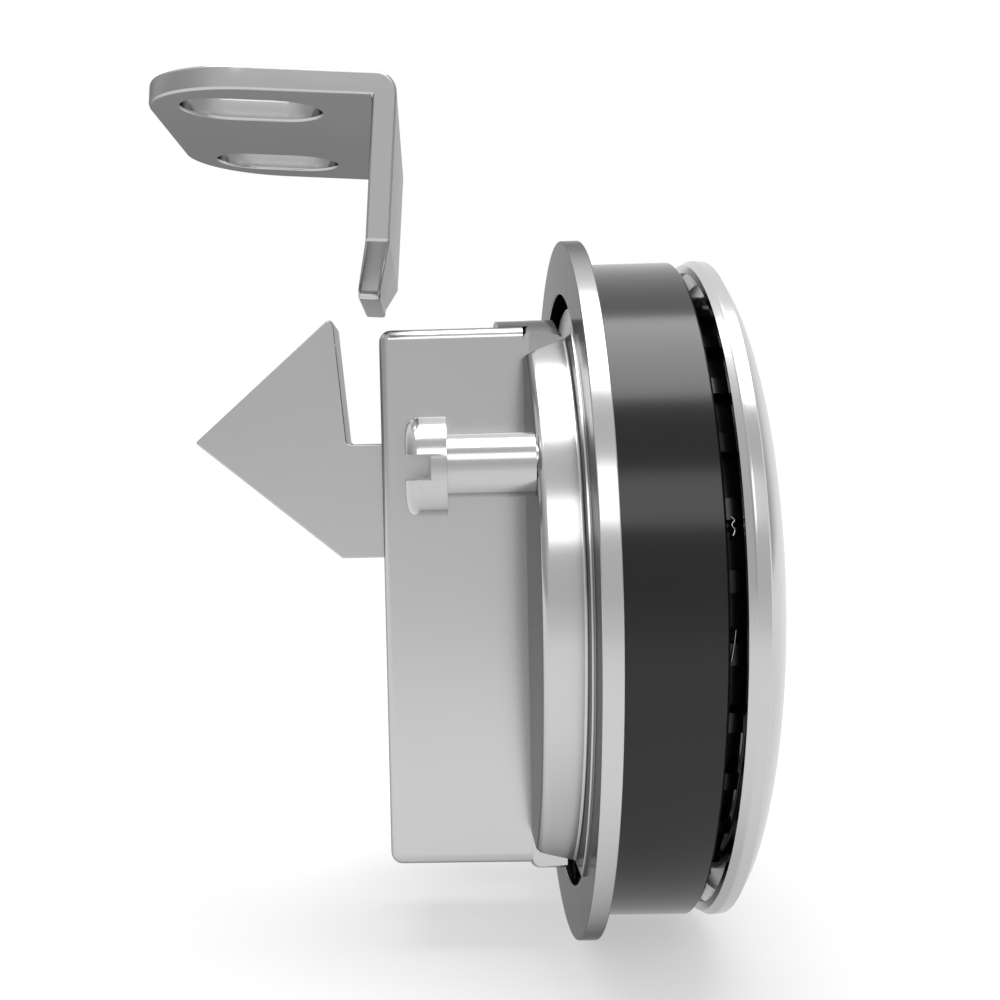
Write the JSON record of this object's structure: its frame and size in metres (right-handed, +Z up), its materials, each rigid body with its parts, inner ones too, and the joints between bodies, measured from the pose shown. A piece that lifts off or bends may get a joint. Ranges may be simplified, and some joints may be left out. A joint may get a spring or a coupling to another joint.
{
  "type": "push-to-close latch",
  "caption": "Round flush-handle latch that clamps in a panel hole; a sprung hooked bolt catches a slotted angle keeper as the door is pushed shut.",
  "frame": {"origin": "on the latch axis at the bezel's rear face, where the front of the panel lies", "axes": "+X along the latch axis out of the panel's front, +Z up towards the keeper, +Y across"},
  "size_m": [0.0624, 0.075, 0.0904],
  "materials": {
    "polished": "mirror polished stainless steel",
    "steel": "bright turned",
    "wire": "drawn spring wire",
    "black": "smooth moulded",
    "rubber": "matt",
    "nylon": "natural moulded"
  },
  "bodies": {
    "housing": {"bezel": "polished", "recess_cup": "black", "snap_ring": "wire", "cup_screws": "steel", "handle_bumpers": "rubber", "spacer_sleeve": "black", "clamp_ring": "polished", "clamp_plate": "polished", "clamp_screws": "steel", "bolt_case": "polished", "case_screws": "steel", "spring_post": "steel", "bolt_spring": "wire", "handle_pin": "steel", "handle_spring": "wire"},
    "handle": {"pull_handle": "polished", "release_arm": "steel", "arm_rivet": "steel"},
    "bolt": {"bolt": "polished", "slide_block": "nylon", "block_pin": "steel"},
    "keeper": {"keeper": "polished"}
  },
  "joints": [
    {"name": "bolt_slide", "type": "slide", "parent": "housing", "child": "bolt", "axis": [0, 0, 1], "range_m": [-0.012, 0], "stiffness_N_per_m": 250, "springref_m": 0.01, "deforming": ["bolt_spring"]},
    {"name": "handle_pull", "type": "hinge", "parent": "housing", "child": "handle", "pos_m": [0.0022, 0, 0.02], "axis": [0, -1, 0], "range_deg": [0, 32], "stiffness_Nm_per_rad": 0.02, "springref_deg": -17.19},
    {"name": "keeper_travel", "type": "slide", "parent": "housing", "child": "keeper", "axis": [-1, 0, 0], "range_m": [0, 0.03]}
  ],
  "couplings": [
    {"joint": "handle_pull", "follows": "bolt_slide", "rad_per_m": -46.54}
  ]
}
